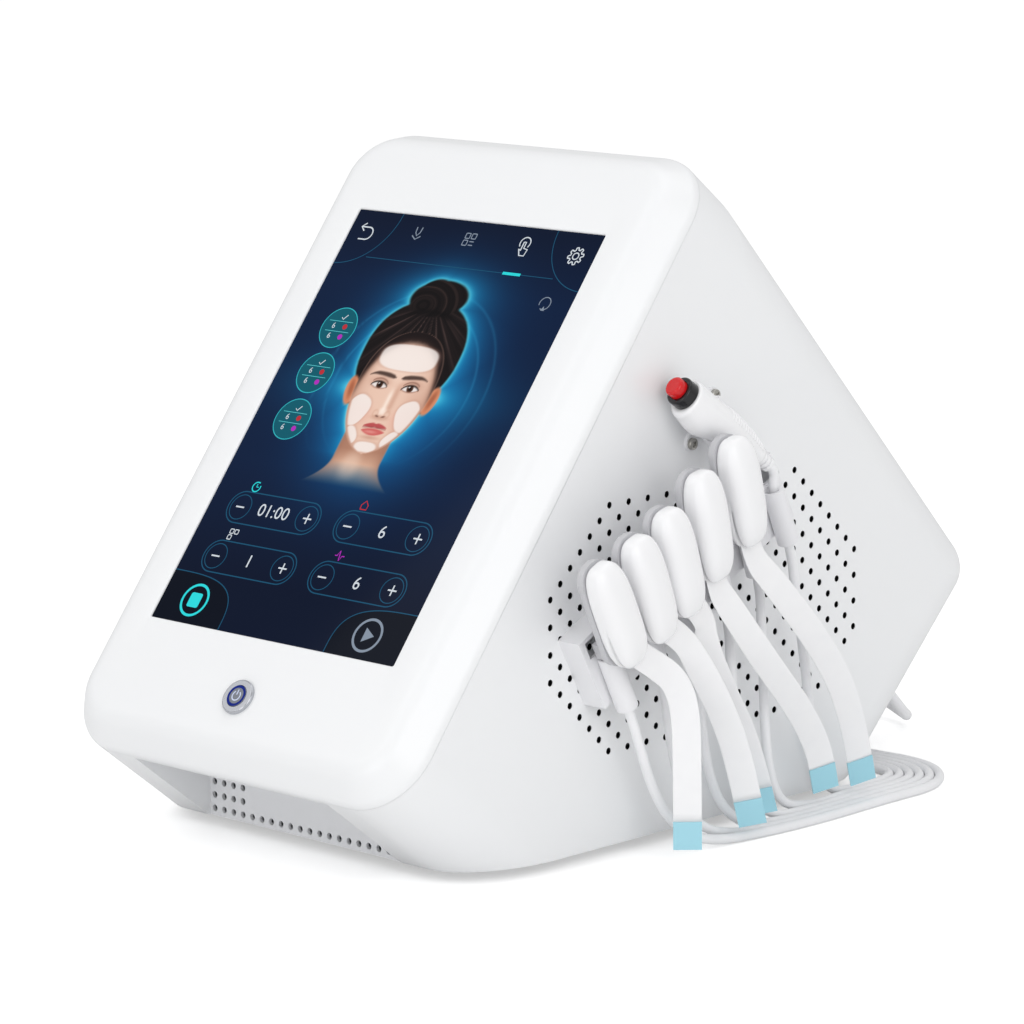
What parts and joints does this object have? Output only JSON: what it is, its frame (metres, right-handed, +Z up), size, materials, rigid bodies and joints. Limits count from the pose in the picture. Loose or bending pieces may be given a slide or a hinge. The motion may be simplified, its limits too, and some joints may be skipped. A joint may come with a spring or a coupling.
{
  "type": "facial toning device",
  "caption": "Wedge-shaped desktop facial toning device with a tilted portrait touch screen, a side rail of lead clips and a hand switch.",
  "frame": {"origin": "on the floor under the middle of the device with its clips and hand switch, cords left out", "axes": "+Z up, the screen faces -Y, the lead rail is on the +X wall"},
  "size_m": [0.3049, 0.5183, 0.3593],
  "materials": {
    "white_shell": "satin white paint",
    "white_clip": "smooth white",
    "grey_plastic": "satin light grey",
    "white_cord": "matte white",
    "black_plastic": "glossy black",
    "red_plastic": "glossy red",
    "black_rubber": "matte",
    "screen_glass": "clear, coated",
    "screen_cell": "dark",
    "steel": "zinc plated",
    "button_metal": "polished",
    "aluminium": "satin",
    "board_green": "solder mask",
    "blue_tab": "light blue",
    "painted_white": "satin white"
  },
  "bodies": {
    "base": {"base_plate": "aluminium", "base_screws": "steel", "cradle_screws": "steel", "display_frame": "steel", "fan_frame": "black_plastic", "feet": "black_rubber", "frame_screws": "steel", "front_bezel": "white_shell", "front_vent_panel": "painted_white", "lcd_panel": "screen_cell", "lead_cord_1": "white_cord", "lead_cord_2": "white_cord", "lead_cord_3": "white_cord", "lead_cord_4": "white_cord", "lead_cord_5": "white_cord", "lead_rail": "painted_white", "lead_socket": "button_metal", "lead_yoke": "white_clip", "main_board": "board_green", "main_shell": "white_shell", "mains_inlet": "black_plastic", "power_supply": "aluminium", "power_switch_body": "button_metal", "power_switch_nut": "steel", "pulse_board": "board_green", "rail_screws": "steel", "rear_service_panel": "painted_white", "ribbon_1": "white_cord", "ribbon_2": "white_cord", "ribbon_3": "white_cord", "ribbon_4": "white_cord", "ribbon_5": "white_cord", "ribbon_tabs": "blue_tab", "service_screws": "steel", "switch_cord": "white_cord", "switch_cradle": "painted_white", "touch_glass": "screen_glass", "trunk_coil": "white_cord", "trunk_cord": "white_cord", "trunk_plug": "grey_plastic", "trunk_tail": "white_cord"},
    "switch_cap": {"power_switch_cap": "button_metal"},
    "fan": {"fan_rotor": "black_plastic"},
    "hand_switch": {"hand_switch_housing": "white_clip", "hand_switch_collar": "black_plastic", "hand_switch_relief": "white_clip"},
    "hand_button": {"hand_switch_button": "red_plastic"},
    "clip_1": {"clip_back_1": "grey_plastic", "clip_front_1": "white_clip"},
    "clip_2": {"clip_back_2": "grey_plastic", "clip_front_2": "white_clip"},
    "clip_3": {"clip_back_3": "grey_plastic", "clip_front_3": "white_clip"},
    "clip_4": {"clip_back_4": "grey_plastic", "clip_front_4": "white_clip"},
    "clip_5": {"clip_back_5": "grey_plastic", "clip_front_5": "white_clip"}
  },
  "joints": [
    {"name": "power_switch_press", "type": "slide", "parent": "base", "child": "switch_cap", "axis": [0, 0.7926, -0.6097], "range_m": [0, 0.002], "stiffness_N_per_m": 400, "springref_m": -0.001},
    {"name": "fan_spin", "type": "hinge", "parent": "base", "child": "fan", "pos_m": [-0.06595, 0.17874, 0.05507], "axis": [0, 0.7071, -0.7071], "continuous": true},
    {"name": "hand_switch_lift", "type": "slide", "parent": "base", "child": "hand_switch", "axis": [0, -0.8039, 0.5948], "range_m": [0, 0.06]},
    {"name": "hand_button_press", "type": "slide", "parent": "hand_switch", "child": "hand_button", "axis": [0.1142, 0.7986, -0.5909], "range_m": [0, 0.003], "stiffness_N_per_m": 300, "springref_m": -0.001},
    {"name": "clip_1_lift", "type": "slide", "parent": "base", "child": "clip_1", "axis": [0, -0.454, 0.891], "range_m": [0, 0.026]},
    {"name": "clip_2_lift", "type": "slide", "parent": "base", "child": "clip_2", "axis": [0, -0.4067, 0.9135], "range_m": [0, 0.026]},
    {"name": "clip_3_lift", "type": "slide", "parent": "base", "child": "clip_3", "axis": [0, -0.3746, 0.9272], "range_m": [0, 0.026]},
    {"name": "clip_4_lift", "type": "slide", "parent": "base", "child": "clip_4", "axis": [0, -0.342, 0.9397], "range_m": [0, 0.026]},
    {"name": "clip_5_lift", "type": "slide", "parent": "base", "child": "clip_5", "axis": [0, -0.342, 0.9397], "range_m": [0, 0.026]}
  ]
}
